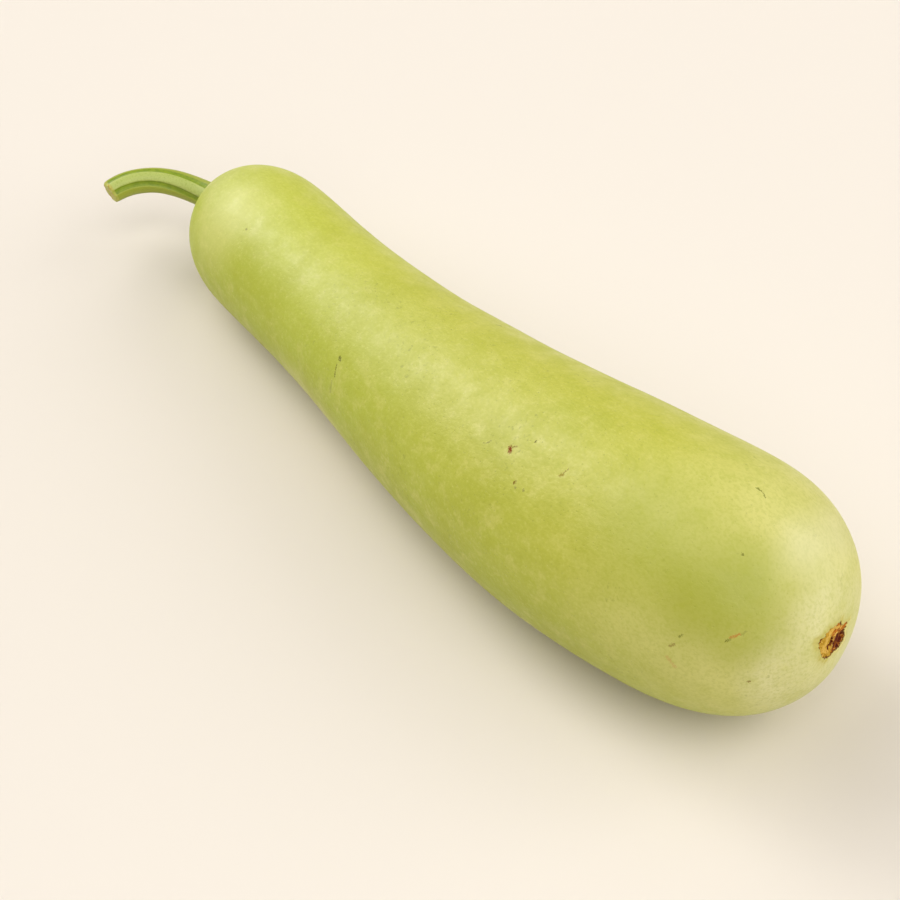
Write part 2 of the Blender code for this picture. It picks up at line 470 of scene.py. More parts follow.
# Healed nicks, specks and scratches: where each starts and ends (distance along and degrees
# round), how wide it is, its kind, how strong, and how deep it is pressed in.
MARKS = (
    ((0.2336, 125.0), (0.2344, 126.4), 0.00085, "red", 1.0, 0.00020),
    ((0.2344, 124.2), (0.2357, 122.8), 0.00032, "brown", 0.8, 0.00008),
    ((0.2405, 116.8), (0.2407, 116.6), 0.00042, "dark", 0.9, 0.00008),
    ((0.2230, 129.7), (0.2243, 129.0), 0.00026, "dark", 0.75, 0.00008),
    ((0.2243, 129.0), (0.2253, 126.9), 0.00026, "dark", 0.75, 0.00008),
    ((0.2425, 136.5), (0.2427, 136.9), 0.00066, "brown", 0.95, 0.00016),
    ((0.2438, 138.2), (0.2440, 138.5), 0.00040, "dark", 0.6, 0.00006),
    ((0.2470, 137.2), (0.2473, 137.5), 0.00044, "dark", 0.65, 0.00006),
    ((0.2565, 124.0), (0.2571, 123.0), 0.00062, "tan", 0.85, 0.00012),
    ((0.2571, 122.2), (0.2578, 119.6), 0.00032, "brown", 0.75, 0.00008),
    ((0.1401, 144.6), (0.1406, 145.6), 0.00082, "olive", 0.95, 0.00018),
    ((0.1401, 149.4), (0.1412, 156.6), 0.00045, "olive", 0.85, 0.00014),
    ((0.1404, 161.0), (0.1406, 168.0), 0.00055, "olive", 0.45, 0.00006),
    ((0.3114, 168.8), (0.3123, 167.4), 0.00058, "brown", 0.65, 0.00012),
    ((0.3136, 162.8), (0.3142, 161.6), 0.00050, "olive", 0.75, 0.00008),
    ((0.3110, 174.8), (0.3134, 178.8), 0.00070, "pink", 0.55, 0.00006),
    ((0.3272, 157.0), (0.3293, 153.8), 0.00055, "orange", 0.9, 0.00012),
    ((0.3262, 158.6), (0.3272, 157.2), 0.00042, "olive", 0.9, 0.00010),
    ((0.3299, 153.5), (0.3307, 151.6), 0.00045, "olive", 0.35, 0.00010),
    ((0.3333, -177.5), (0.3336, -177.9), 0.00046, "brown", 0.75, 0.00008),
    ((0.3138, 85.3), (0.3160, 85.6), 0.00030, "olive", 0.85, 0.00010),
    ((0.3160, 85.6), (0.3182, 87.2), 0.00028, "olive", 0.8, 0.00010),
    ((0.3221, 118.0), (0.3224, 118.4), 0.00046, "olive", 0.85, 0.00008),
    ((0.0551, 125.3), (0.0554, 125.7), 0.00042, "dark", 0.7, 0.00006),
    ((0.1760, 62.0), (0.1768, 60.0), 0.00048, "olive", 0.6, 0.00008),
    ((0.2880, 30.0), (0.2905, 27.0), 0.00046, "brown", 0.6, 0.00010),
    ((0.1150, 20.0), (0.1153, 20.8), 0.00064, "tan", 0.7, 0.00010),
    ((0.2100, -12.0), (0.2150, -15.0), 0.00038, "olive", 0.6, 0.00008),
    ((0.0800, -160.0), (0.0806, -158.0), 0.00058, "brown", 0.6, 0.00010),
)

NICK_DEEP = 0.0001  # a mark at least this deep is pressed into the skin
NICK_FINE = (0.0036, 0.0027, 0.0021)  # the skin is halved again within each of these
NICK_END = 0.006

mark_ends = [(on_skin(*start), on_skin(*end), width, deep) for start, end, width, _, _, deep in MARKS]
nick_ends = [ends for ends in mark_ends if ends[3] >= NICK_DEEP]
nick_middles = [(start + end) / 2 for start, end, _, _ in nick_ends]
for nick_reach in NICK_FINE:
    refine(gourd, nick_middles, nick_reach)

# Broad soft blushes in the skin, two of them painted highlights: start, end, reach, colour, strength.
BLUSHES_AND_HIGHLIGHTS = (
    ((0.2900, 128.0), (0.3170, 138.0), 0.034, (0.36, 0.39, 0.010), 0.55),
    ((0.3130, 142.0), (0.3260, 128.0), 0.021, (0.35, 0.37, 0.012), 0.50),
    ((0.3320, 140.0), (0.3310, 162.0), 0.017, (0.36, 0.38, 0.012), 0.50),
    ((0.3150, 158.0), (0.3230, 158.0), 0.014, (0.36, 0.38, 0.012), 0.25),
    ((0.3400, 118.0), (0.3385, 136.0), 0.013, (0.43, 0.43, 0.040), 0.40),
    # The next two pale patches, at the blossom end and on the head, are painted highlights, not the
    # skin's own colour.
    ((0.3390, 66.0), (0.3360, 96.0), 0.017, (0.80, 0.75, 0.440), 0.35),
    ((0.0430, 122.0), (0.0400, 140.0), 0.025, (0.78, 0.76, 0.270), 0.40),
    ((0.1900, 20.0), (0.2150, 12.0), 0.020, (0.60, 0.57, 0.120), 0.45),
    ((0.1100, -150.0), (0.1400, -145.0), 0.022, (0.68, 0.65, 0.240), 0.50),
)


def from_segment(place, start, end):
    """Distance from a place to the straight line between two others."""
    span = end - start
    share = min(max((place - start).dot(span) / span.dot(span), 0), 1)
    return (place - start - span * share).length


def nicks(place):
    depth = 0
    for start, end, width, deep in nick_ends:
        if (place - start).length < NICK_END:
            depth += deep * fade(from_segment(place, start, end), width)
    return depth


press_in(gourd, nicks)


def paint(made, shares):
    """Stores named shares from 0 to 1 for each point of the surface, for the finish to read."""
    for name, values in shares.items():
        layer = made.data.attributes.new(name, "FLOAT", "POINT")
        layer.data.foreach_set("value", values)


HALO_STRENGTH = 0.5
HALO_REACH = 0.0028
FOLD_STRENGTH = 1.1
STAIN_MOST = 0.85  # outside the scar
LIP_HIGHLIGHT_SIDE = -40  # the side where the painted highlight on the lip is strongest, in degrees
LIP_HIGHLIGHT_SPREAD = 50
FLUSH_REACH = 0.008


def scar_shares(place):
    """How stained the skin is round the scar, and how pale its torn lip is. The pale lip is a
    painted highlight, palest on one side."""
    if (place - scar_middle).length > STAIN_END:
        return 0, 0
    distance, angle = scar_polar(place)
    beyond = distance - scar_edge(angle)
    if beyond < 0:
        return 1, 0
    stain = HALO_STRENGTH * fade(beyond, HALO_REACH)
    stain += FOLD_STRENGTH * fold_share(distance, angle)[1]
    highlit = fade(turned_from(angle, LIP_HIGHLIGHT_SIDE), LIP_HIGHLIGHT_SPREAD)
    return min(stain, STAIN_MOST), fade(beyond - LIP_WIDTH / 2, LIP_WIDTH) * highlit


def paint_skin(made):
    shares = {"scar_stain": [], "scar_lip_highlight": [], "stem_flush": []}
    for vertex in made.data.vertices:
        stain, lip = scar_shares(vertex.co)
        from_stem = max((vertex.co - seat_middle).length - SEAT_RADIUS, 0)
        shares["scar_stain"].append(stain)
        shares["scar_lip_highlight"].append(lip)
        shares["stem_flush"].append(fade(from_stem, FLUSH_REACH))
    paint(made, shares)


paint_skin(gourd)
work_on(gourd)
bpy.ops.object.shade_smooth()


def put(tree, kind, **values):
    """A node of this kind, with its settings and its unlinked sockets filled in by name."""
    made = tree.nodes.new("ShaderNode" + kind)
    for name, value in values.items():
        if hasattr(made, name):
            setattr(made, name, value)
        else:
            made.inputs[name.replace("_", " ")].default_value = value
    return made


def wire(tree, start, end, socket):
    """Joins an output to the named or numbered input of a node."""
    tree.links.new(start, end.inputs[socket])


def new_finish(name, **values):
    """A material with one Principled shader. Returns it, its node tree and the shader."""
    made = bpy.data.materials.new(name)
    made.use_nodes = True
    shader = made.node_tree.nodes["Principled BSDF"]
    for socket, value in values.items():
        shader.inputs[socket.replace("_", " ")].default_value = value
    return made, made.node_tree, shader


def ramp(tree, value, *stops):
    """A colour or grey for each value, from (position, colour) stops."""
    made = put(tree, "ValToRGB")
    made.color_ramp.interpolation = "EASE"
    marks = made.color_ramp.elements
    while len(marks) < len(stops):
        marks.new(1)
    for mark, (position, colour) in zip(marks, stops):
        mark.position = position
        mark.color = (*colour, 1) if isinstance(colour, tuple) else (colour, colour, colour, 1)
    wire(tree, value, made, "Fac")
    return made.outputs["Color"]


def feed(tree, value, end, socket):
    """Gives an input another node's output, a fixed colour or a fixed number."""
    if isinstance(value, bpy.types.NodeSocket):
        wire(tree, value, end, socket)
    elif isinstance(value, tuple):
        end.inputs[socket].default_value = (*value, 1)
    else:
        end.inputs[socket].default_value = value


def blend(tree, share, first, second):
    """Mixes this share of the second colour into the first."""
    made = put(tree, "Mix", data_type="RGBA")
    for socket, value in ((0, share), (6, first), (7, second)):
        feed(tree, value, made, socket)
    return made.outputs[2]


def reckon(tree, how, first, second):
    """Works out one sum of two numbers."""
    made = put(tree, "Math", operation=how)
    feed(tree, first, made, 0)
    feed(tree, second, made, 1)
    return made.outputs[0]


def times(tree, first, second):
    return reckon(tree, "MULTIPLY", first, second)


def reckon_places(tree, how, first, second, wanted="Vector"):
    """Works out one sum of two places, or of a place and a scale."""
    made = put(tree, "VectorMath", operation=how)
    feed(tree, first, made, 0)
    feed(tree, second, made, "Scale" if how == "SCALE" else 1)
    return made.outputs[wanted]


def painted(tree, name):
    """A share that paint() stored on the piece."""
    return put(tree, "Attribute", attribute_name=name).outputs["Fac"]


def bump(tree, height, distance, under=None, strength=1.0, inwards=False):
    """Fine relief, this many metres high, over the relief that is already there."""
    made = put(tree, "Bump", Distance=distance, invert=inwards)
    wire(tree, height, made, "Height")
    feed(tree, strength, made, "Strength")
    if under is not None:
        wire(tree, under, made, "Normal")
    return made.outputs["Normal"]


def cloud(tree, where, scale, detail=2.0, stretch=(1, 1, 1), roughness=0.5):
    """Soft noise over the surface, this many times a metre, stretched by making it coarser."""
    placed = put(tree, "Mapping", Scale=stretch)
    wire(tree, where, placed, "Vector")
    made = put(tree, "TexNoise", Scale=scale, Detail=detail, Roughness=roughness)
    wire(tree, placed.outputs[0], made, "Vector")
    return made.outputs["Fac"]


def specks(tree, where, scale, size, share):
    """Small round dots: cells this many times a metre, of which only a share hold one."""
    cells = put(tree, "TexVoronoi", Scale=scale)
    wire(tree, where, cells, "Vector")
    dot = ramp(tree, cells.outputs["Distance"], (size * 0.5, 1.0), (size, 0.0))
    chosen = ramp(tree, cells.outputs["Color"], (share - 0.02, 1.0), (share + 0.02, 0.0))
    return times(tree, dot, chosen)


def mark_group():
    """One healed mark: mixes its colour in along the line between two places, and dulls the wax."""
    tree = bpy.data.node_groups.new("healed_mark", "ShaderNodeTree")
    face = tree.interface
    for kind, names in (
        ("NodeSocketVector", ("Where", "Start", "Span")),
        ("NodeSocketFloat", ("Span Squared", "Width", "Core", "Gaps", "Strength", "Dull")),
        ("NodeSocketColor", ("Under", "Mark")),
    ):
        for name in names:
            face.new_socket(name, in_out="INPUT", socket_type=kind)
    face.new_socket("Colour", in_out="OUTPUT", socket_type="NodeSocketColor")
    face.new_socket("Dull", in_out="OUTPUT", socket_type="NodeSocketFloat")
    given = tree.nodes.new("NodeGroupInput").outputs
    result = tree.nodes.new("NodeGroupOutput")
    offset = reckon_places(tree, "SUBTRACT", given["Where"], given["Start"])
    along = reckon_places(tree, "DOT_PRODUCT", offset, given["Span"], "Value")
    share = reckon(tree, "DIVIDE", along, given["Span Squared"])
    share.node.use_clamp = True
    nearest = reckon_places(tree, "SCALE", given["Span"], share)
    apart = reckon_places(tree, "DISTANCE", offset, nearest, "Value")
    relative = reckon(tree, "DIVIDE", apart, given["Width"])
    cover = put(tree, "MapRange", interpolation_type="SMOOTHSTEP", From_Max=1.0, To_Min=1.0, To_Max=0.0)
    wire(tree, reckon(tree, "ADD", relative, given["Gaps"]), cover, "Value")
    wire(tree, given["Core"], cover, "From Min")
    strong = times(tree, cover.outputs["Result"], given["Strength"])
    wire(tree, blend(tree, strong, given["Under"], given["Mark"]), result, 0)
    wire(tree, reckon(tree, "MAXIMUM", strong, given["Dull"]), result, 1)
    return tree


SKIN_PALE = (0.62, 0.61, 0.140)
PAINTED_SHADE_GREEN = (0.38, 0.45, 0.006)
SKIN_OLIVE = (0.39, 0.41, 0.015)
SKIN_YELLOW = (0.64, 0.60, 0.135)
FRECKLE_OLIVE = (0.25, 0.26, 0.012)
PORE_OLIVE = (0.22, 0.24, 0.012)
FLECK_PALE = (0.72, 0.68, 0.27)
STAIN_OCHRE = (0.47, 0.39, 0.022)
# The torn lip's pale colour below is a painted highlight.
LIP_HIGHLIGHT = (0.78, 0.68, 0.23)
TORN_BROWN = (0.16, 0.05, 0.003)
FLUSH_GREEN = (0.33, 0.41, 0.035)
MARK_COLOURS = {
    "red": (0.23, 0.050, 0.0002),
    "brown": (0.22, 0.135, 0.003),
    "tan": (0.29, 0.215, 0.008),
    "orange": (0.52, 0.23, 0.03),
    "pink": (0.56, 0.36, 0.08),
    "olive": (0.17, 0.18, 0.008),
    "dark": (0.16, 0.15, 0.02),
}
PAINTED_LIGHT_WAY = Vector((0.12, 0.55, 1.0))  # the skin is paler facing this way; away from it, painted shade
MARK_SPREAD = 1.5  # a mark's colour reaches this many times its width
MARK_CORE = 0.6  # the share of its reach over which it is at full strength
RING_SPREAD = 3.2  # a paler ring round it reaches this many times its width
RING_CORE = 0.2
RING_STRENGTH = 0.30
MARK_RAGGED = 0.0013  # how far its edge wanders


def base_colour(tree, where, along):
    """Yellow green, palest at the blossom end, partly as painted highlight. The lower front flank
    is painted greener and darker, as painted shade.
    """
    # Paler towards both ends. The palest stops, above all at the blossom end, are partly the skin's own
    # colour and partly painted highlight.
    lengthwise = ramp(
        tree,
        along,
        (0.0, (0.61, 0.61, 0.100)),
        (0.22, (0.565, 0.565, 0.068)),
        (0.45, (0.505, 0.500, 0.052)),
        (0.75, (0.510, 0.500, 0.054)),
        (0.90, (0.660, 0.620, 0.180)),
        (0.955, (0.690, 0.645, 0.210)),
        (0.985, (0.765, 0.715, 0.370)),
    )
    # Painted shade: the lower front flank, facing away from the paler side, is mixed towards a darker
    # green.
    lit_facing = reckon_places(tree, "DOT_PRODUCT", where, PAINTED_LIGHT_WAY, "Value")
    uneven_edge = times(tree, cloud(tree, where, 14, 2), 0.03)
    shaded = reckon(tree, "ADD", lit_facing, uneven_edge)
    flank = ramp(tree, times(tree, shaded, 10.0), (0.20, 1.0), (0.95, 0.0))
    return blend(tree, times(tree, flank, 0.90), lengthwise, PAINTED_SHADE_GREEN)


def mottle(tree, where, along, colour):
    """Broad olive clouds, smaller mottling that fades towards both ends, faint streaks along
    the fruit, and fine grain. Returns the mottling and the grain as well."""
    broad = cloud(tree, where, 24, 3)
    mottled = cloud(tree, where, 120, 6, roughness=0.66)
    uneven = ramp(tree, along, (0.0, 0.26), (0.45, 0.34), (0.65, 0.50), (0.95, 0.20))
    streaks = cloud(tree, where, 300, 3, stretch=(0.06, 1, 1))
    grain = cloud(tree, where, 850, 4, stretch=(0.75, 1, 1), roughness=0.65)
    for pattern, first, second, strength, tint in (
        (broad, (0.42, 0.0), (0.66, 1.0), 0.42, SKIN_OLIVE),
        (mottled, (0.48, 0.0), (0.70, 1.0), uneven, SKIN_OLIVE),
        (mottled, (0.30, 1.0), (0.50, 0.0), uneven, SKIN_YELLOW),
        (streaks, (0.45, 0.0), (0.75, 1.0), 0.16, SKIN_PALE),
        (grain, (0.42, 0.0), (0.66, 1.0), 0.30, SKIN_OLIVE),
        (grain, (0.30, 1.0), (0.46, 0.0), 0.30, SKIN_PALE),
    ):
        share = times(tree, ramp(tree, pattern, first, second), strength)
        colour = blend(tree, share, colour, tint)
    return colour, mottled, grain


def speckle(tree, where, pebbled, colour):
    """Olive freckles in patches, and pores and a few pale flecks. Returns the pores as well."""
    patches = ramp(tree, cloud(tree, where, 45, 2), (0.50, 0.0), (0.64, 1.0))
    freckles = ramp(tree, cloud(tree, where, 640, 2), (0.60, 0.0), (0.72, 1.0))
    freckled = times(tree, times(tree, patches, freckles), 0.50)
    colour = blend(tree, times(tree, freckled, pebbled), colour, FRECKLE_OLIVE)
    pores = specks(tree, where, 620, 0.20, 0.40)
    pored = times(tree, pores, 0.38)
    colour = blend(tree, times(tree, pored, pebbled), colour, PORE_OLIVE)
    flecks = specks(tree, where, 480, 0.15, 0.30)
    return blend(tree, times(tree, flecks, 0.22), colour, FLECK_PALE), pores


def ragged_place(tree, where):
    """The place, shifted a little this way and that, so that marks drawn by it have ragged edges."""
    shaken = put(tree, "TexNoise", Scale=1500, Detail=3)
    wire(tree, where, shaken, "Vector")
    shift = reckon_places(tree, "SUBTRACT", shaken.outputs["Color"], Vector((0.5, 0.5, 0.5)))
    return reckon_places(tree, "ADD", where, reckon_places(tree, "SCALE", shift, MARK_RAGGED))


def add_marks(tree, where, colour):
    """Broad blushes and painted highlights, then healed marks. Returns how far the marks dull the wax
    as well.
    """
    ragged = ragged_place(tree, where)
    crumbs = ramp(tree, cloud(tree, where, 2600, 2), (0.42, 0.0), (0.62, 1.0))
    gaps = times(tree, crumbs, 0.6)
    group = mark_group()
    layers = [(*skin_patch, 0) for skin_patch in BLUSHES_AND_HIGHLIGHTS]
    for start, end, width, kind, strength, _ in MARKS:
        ring = (start, end, RING_SPREAD * width, SKIN_YELLOW, RING_STRENGTH * strength, RING_CORE)
        layers.append(ring)
        layers.append((start, end, MARK_SPREAD * width, MARK_COLOURS[kind], strength, MARK_CORE))
    dull = 0.0
    for start, end, width, tint, strength, core in layers:
        begin = on_skin(*start)
        span = on_skin(*end) - begin
        mark = put(
            tree,
            "Group",
            node_tree=group,
            Start=begin,
            Span=span,
            Span_Squared=span.dot(span),
            Width=width,
            Strength=strength,
            Mark=(*tint, 1),
            Core=core,
        )
        if core:
            wire(tree, gaps, mark, "Gaps")
        if core == MARK_CORE:
            feed(tree, dull, mark, "Dull")
            dull = mark.outputs["Dull"]
        wire(tree, ragged, mark, "Where")
        wire(tree, colour, mark, "Under")
        colour = mark.outputs["Colour"]
    return colour, dull


def skin_finish():
    """Pale green wax over mottled flesh: clouded, faintly streaked, and finely speckled."""
    made, tree, shader = new_finish("waxy_skin", Roughness=0.5, Specular_IOR_Level=0.6)
    where = put(tree, "TexCoord").outputs["Object"]
    parts = put(tree, "SeparateXYZ")
    wire(tree, where, parts, 0)
    low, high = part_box("fruit")
    from_stem = put(tree, "MapRange", From_Min=low.x, From_Max=high.x)
    wire(tree, parts.outputs["X"], from_stem, "Value")
    along = from_stem.outputs["Result"]
    # The skin is finely pebbled on the body, and smoother towards both ends.
    pebbled = ramp(tree, along, (0.20, 0.30), (0.42, 1.0), (0.72, 1.0), (0.95, 0.50))
    colour, mottled, grain = mottle(tree, where, along, base_colour(tree, where, along))
    colour, pores = speckle(tree, where, pebbled, colour)
    colour, dull = add_marks(tree, where, colour)

    # Stained round the scar, a painted highlight on its torn lip, and greener round the stem.
    stain = painted(tree, "scar_stain")
    colour = blend(tree, times(tree, stain, 0.75), colour, STAIN_OCHRE)
    colour = blend(tree, times(tree, painted(tree, "scar_lip_highlight"), 0.9), colour, LIP_HIGHLIGHT)
    torn = ramp(tree, stain, (0.88, 0.0), (0.97, 1.0))
    colour = blend(tree, torn, colour, TORN_BROWN)
    colour = blend(tree, times(tree, painted(tree, "stem_flush"), 0.6), colour, FLUSH_GREEN)
    wire(tree, colour, shader, "Base Color")

    # The wax is duller where it is rubbed, and gone where the skin tore or healed.
    rubbed = ramp(tree, mottled, (0.30, 0.38), (0.70, 0.52))
    bare = times(tree, reckon(tree, "MAXIMUM", torn, dull), 0.95)
    wire(tree, reckon(tree, "MAXIMUM", rubbed, bare), shader, "Roughness")
    relief = bump(tree, grain, 0.00014, strength=pebbled)
    relief = bump(tree, pores, 0.00006, under=relief, inwards=True)
    relief = bump(tree, mottled, 0.0003, under=relief)
    wire(tree, relief, shader, "Normal")
    return made


gourd.data.materials.append(skin_finish())
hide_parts("fruit")
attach(gourd, "root")


# ---- The stem -------------------------------------------------------------------------------
# The fresh green stalk by which the gourd hung, cut with a knife. It has five soft ribs, swells
# where it joins the fruit, and its cut end has begun to dry. It grows out of the seat.

STEM_RADIUS = 0.0047  # at the cut end
STEM_TAPER = 0.0009  # how much thicker it is at the fruit
FLARE = 0.0016  # extra radius of its foot
FLARE_LENGTH = 0.006
RIB_COUNT = 5
RIB_HEIGHT = 0.00036
RIB_START = math.radians(41)  # where one rib stands at the foot, from the level side
RIB_TWIST = math.radians(26)  # how far the ribs turn by the cut end
RIB_TOP = 0.58  # the share of each rib's half span that its flat top takes
FURROW_WALL = 0.20  # and the wall down to the flat furrow
STEM_SUNK = 0.0006  # its foot is bedded this deep in the skin
STEM_REACH = 0.0350  # from the seat to the cut end, away from the fruit
STEM_SWEEP = 0.0340  # from the seat to the cut end, sideways
STEM_RISE = 0.0010
STEM_PULL = 0.62  # how strongly each end's direction holds, as a share of reach and sweep
STEM_SAG = 0.0052  # it droops this far below its first direction before it turns
STEM_ARCH = 0.0052  # then it arches, and comes down by this much to the cut end
STEM_RINGS = 54
STEM_SIDES = 80
CUT_ROUNDING = 0.0012
CUT_RINGS = 6  # over the rounding
CUT_DRIED = 0.0022  # it has begun to dry this far back from its end
CUT_DRIED_EDGE = 0.0014
CUT_SHRUNK = 0.03  # and has shrunk by this share of its radius
CUT_SLANT = 0.0005  # the knife took this much more off one side than the other
CUT_LONG_SIDE = math.radians(50)  # the side left long, from the level side
CUT_SHEAR = 0.012
CUT_TORN = 0.00016  # how rough the cut face is
CUT_PITH = 0.0004  # how far its soft middle has shrunk in
STEM_UNEVEN = 0.00012

stem_foot = seat_middle - seat_outwards * STEM_SUNK


def stem_path():
    """One curved stroke: straight out of the fruit, then a quarter turn to the cut end."""
    nothing_selected()
    bpy.ops.curve.primitive_bezier_curve_add(location=(0, 0, 0))
    path = bpy.context.object
    path.data.resolution_u = 64
    path.data.twist_mode = "Z_UP"
    tip = seat_middle + Vector((-STEM_REACH, -STEM_SWEEP, STEM_RISE))
    near, far = path.data.splines[0].bezier_points
    for point in (near, far):
        point.handle_left_type = "FREE"
        point.handle_right_type = "FREE"
    near.co = stem_foot
    near.handle_left = stem_foot - seat_outwards * 0.01
    near.handle_right = stem_foot + seat_outwards * STEM_PULL * STEM_REACH - Vector((0, 0, STEM_SAG))
    far.co = tip
    far.handle_left = tip + Vector((0, STEM_PULL * STEM_SWEEP, STEM_ARCH))
    far.handle_right = tip - Vector((0, 0.01, 0))
    return path


def rib_share(angle, share):
    """1 on a rib's flat top, 0 in the furrow between two, at this share of the stem's length."""
    turned = (angle - RIB_START - RIB_TWIST * share) * RIB_COUNT / (2 * math.pi)
    from_top = abs(turned - round(turned)) * 2
    return smoothstep(1 - (from_top - RIB_TOP) / FURROW_WALL)


def draw_out_stem(length):
    """A straight tube along X, closed at both ends, its far rim rounded over."""
    made = start_tube(STEM_SIDES, STEM_RADIUS, (0, 0, 0), 0)
    step = (length - CUT_ROUNDING) / STEM_RINGS
    for _ in range(STEM_RINGS):
        bpy.ops.mesh.extrude_edges_move(TRANSFORM_OT_translate={"value": (step, 0, 0)})
    here = Vector((length - CUT_ROUNDING, 0, 0))
    radius = STEM_RADIUS
    for i in range(1, CUT_RINGS + 1):
        angle = math.radians(90) * i / CUT_RINGS
        ahead = Vector((length - CUT_ROUNDING * (1 - math.sin(angle)), 0, 0))
        shrunk = STEM_RADIUS - CUT_ROUNDING * (1 - math.cos(angle))
        draw_out(ahead - here, ahead, shrunk / radius)
        here = ahead
        radius = shrunk
    close_end(STEM_SIDES // 4)
    return made


def shape_stem(made, length):
    """Swells the foot, raises the ribs and roughens the cut, while the stem is still straight."""
    shares = {"rib": [], "painted_light_side": [], "cut_end": []}
    for vertex in made.data.vertices:
        x, y, z = vertex.co
        share = min(x / length, 1)
        angle = math.atan2(z, y)
        out = math.hypot(y, z) / STEM_RADIUS
        ribbed = rib_share(angle, share)
        flare = FLARE * max(1 - x / FLARE_LENGTH, 0) ** 2
        round_it = Vector((x * 90, math.cos(angle) * 1.3, math.sin(angle) * 1.3))
        uneven = STEM_UNEVEN * noise.noise(round_it)
        ridged = RIB_HEIGHT * (2 * ribbed - 1) * smoothstep(out * 1.3 - 0.3)
        radius = STEM_RADIUS + STEM_TAPER * (1 - share) + flare + ridged + uneven
        at_end = smoothstep((x - length + CUT_DRIED) / CUT_DRIED_EDGE)
        radius *= 1 - CUT_SHRUNK * at_end
        vertex.co.y = math.cos(angle) * out * radius
        vertex.co.z = math.sin(angle) * out * radius
        if x > length - 0.0001:
            torn = noise.noise(Vector((y, z, 0)) * 1500) + 0.6 * noise.noise(Vector((y, z, 1)) * 4000)
            pith = smoothstep(1 - out / 0.45)
            vertex.co.x -= CUT_TORN * (1 + torn) + CUT_PITH * pith
        short_side = 0.5 - 0.5 * out * math.cos(angle - CUT_LONG_SIDE)
        vertex.co.x -= CUT_SLANT * short_side * max(1 - (length - x) / CUT_SHEAR, 0)
        shares["rib"].append(ribbed)
        # How much each point faces the lit side, for the painted light on one rib.
        shares["painted_light_side"].append(max(math.cos(angle - RIB_START - RIB_TWIST * share), 0) ** 2)
        shares["cut_end"].append(at_end)
    paint(made, shares)


STEM_LENGTH_STEPS = 200


def stroke_length(path):
    near, far = path.data.splines[0].bezier_points
    ends = (near.co, near.handle_right, far.handle_left, far.co)
    total = 0
    before = near.co
    for i in range(1, STEM_LENGTH_STEPS + 1):
        t = i / STEM_LENGTH_STEPS
        u = 1 - t
        place = ends[0] * u**3 + ends[1] * 3 * u * u * t + ends[2] * 3 * u * t * t + ends[3] * t**3
        total += (place - before).length
        before = place
    return total


path = stem_path()
stem_length = stroke_length(path)
stalk = draw_out_stem(stem_length)
stalk.name = "stem_stalk"
shape_stem(stalk, stem_length)
bend = stalk.modifiers.new("bend", "CURVE")
bend.object = path
bend.deform_axis = "POS_X"
add_subdivision(stalk, 1)
apply_modifiers(stalk)
bpy.data.objects.remove(path)
work_on(stalk)
bpy.ops.object.shade_smooth()

# The palest green is painted light on the rib that faces the light.
STEM_PAINTED_LIGHT = (0.46, 0.52, 0.125)
STEM_MID = (0.34, 0.375, 0.032)
STEM_GREEN = (0.245, 0.325, 0.006)
STEM_DEEP = (0.175, 0.255, 0.003)
STEM_TAN = (0.52, 0.51, 0.085)
STEM_BROWN = (0.48, 0.28, 0.03)


def stem_finish():
    """Downy green: deep in the furrows, palest on the rib on the lit side as painted light, tan at the
    cut.
    """
    made, tree, shader = new_finish("stem_green", Roughness=0.55)
    where = put(tree, "TexCoord").outputs["Object"]
    rib = painted(tree, "rib")
    painted_light_side = painted(tree, "painted_light_side")
    blotch = cloud(tree, where, 420, 4, roughness=0.6)
    fibre = cloud(tree, where, 1600, 3)
    uneven = times(tree, blotch, 0.5)
    mid = ramp(tree, reckon(tree, "ADD", rib, uneven), (0.70, 0.0), (1.05, 1.0))
    colour = blend(tree, ramp(tree, blotch, (0.35, 0.0), (0.65, 1.0)), STEM_DEEP, STEM_GREEN)
    colour = blend(tree, mid, colour, STEM_MID)
    # Painted light: the rib on the lit side is made paler.
    pale = ramp(tree, reckon(tree, "ADD", painted_light_side, uneven), (0.75, 0.0), (1.10, 1.0))
    colour = blend(tree, times(tree, mid, pale), colour, STEM_PAINTED_LIGHT)
    flecked = ramp(tree, fibre, (0.45, 0.0), (0.70, 0.35))
    colour = blend(tree, flecked, colour, STEM_GREEN)
    cut = painted(tree, "cut_end")
    dried = ramp(tree, blotch, (0.48, 0.0), (0.60, 1.0))
    tan = blend(tree, dried, STEM_TAN, STEM_BROWN)
    colour = blend(tree, ramp(tree, cut, (0.35, 0.0), (0.95, 0.75)), colour, tan)
    wire(tree, colour, shader, "Base Color")
    wire(tree, ramp(tree, blotch, (0.3, 0.42), (0.7, 0.56)), shader, "Roughness")
    wire(tree, bump(tree, fibre, 0.00006), shader, "Normal")
    return made


stalk.data.materials.append(stem_finish())
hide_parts("stem")
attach(stalk, "root")


# ---- The blossom scar -----------------------------------------------------------------------
# The dried remains of the blossom, left in the hollow at the fruit's end: ochre cork, torn and
# pitted, with raised crusts. It is one ragged plate, bedded in the skin.

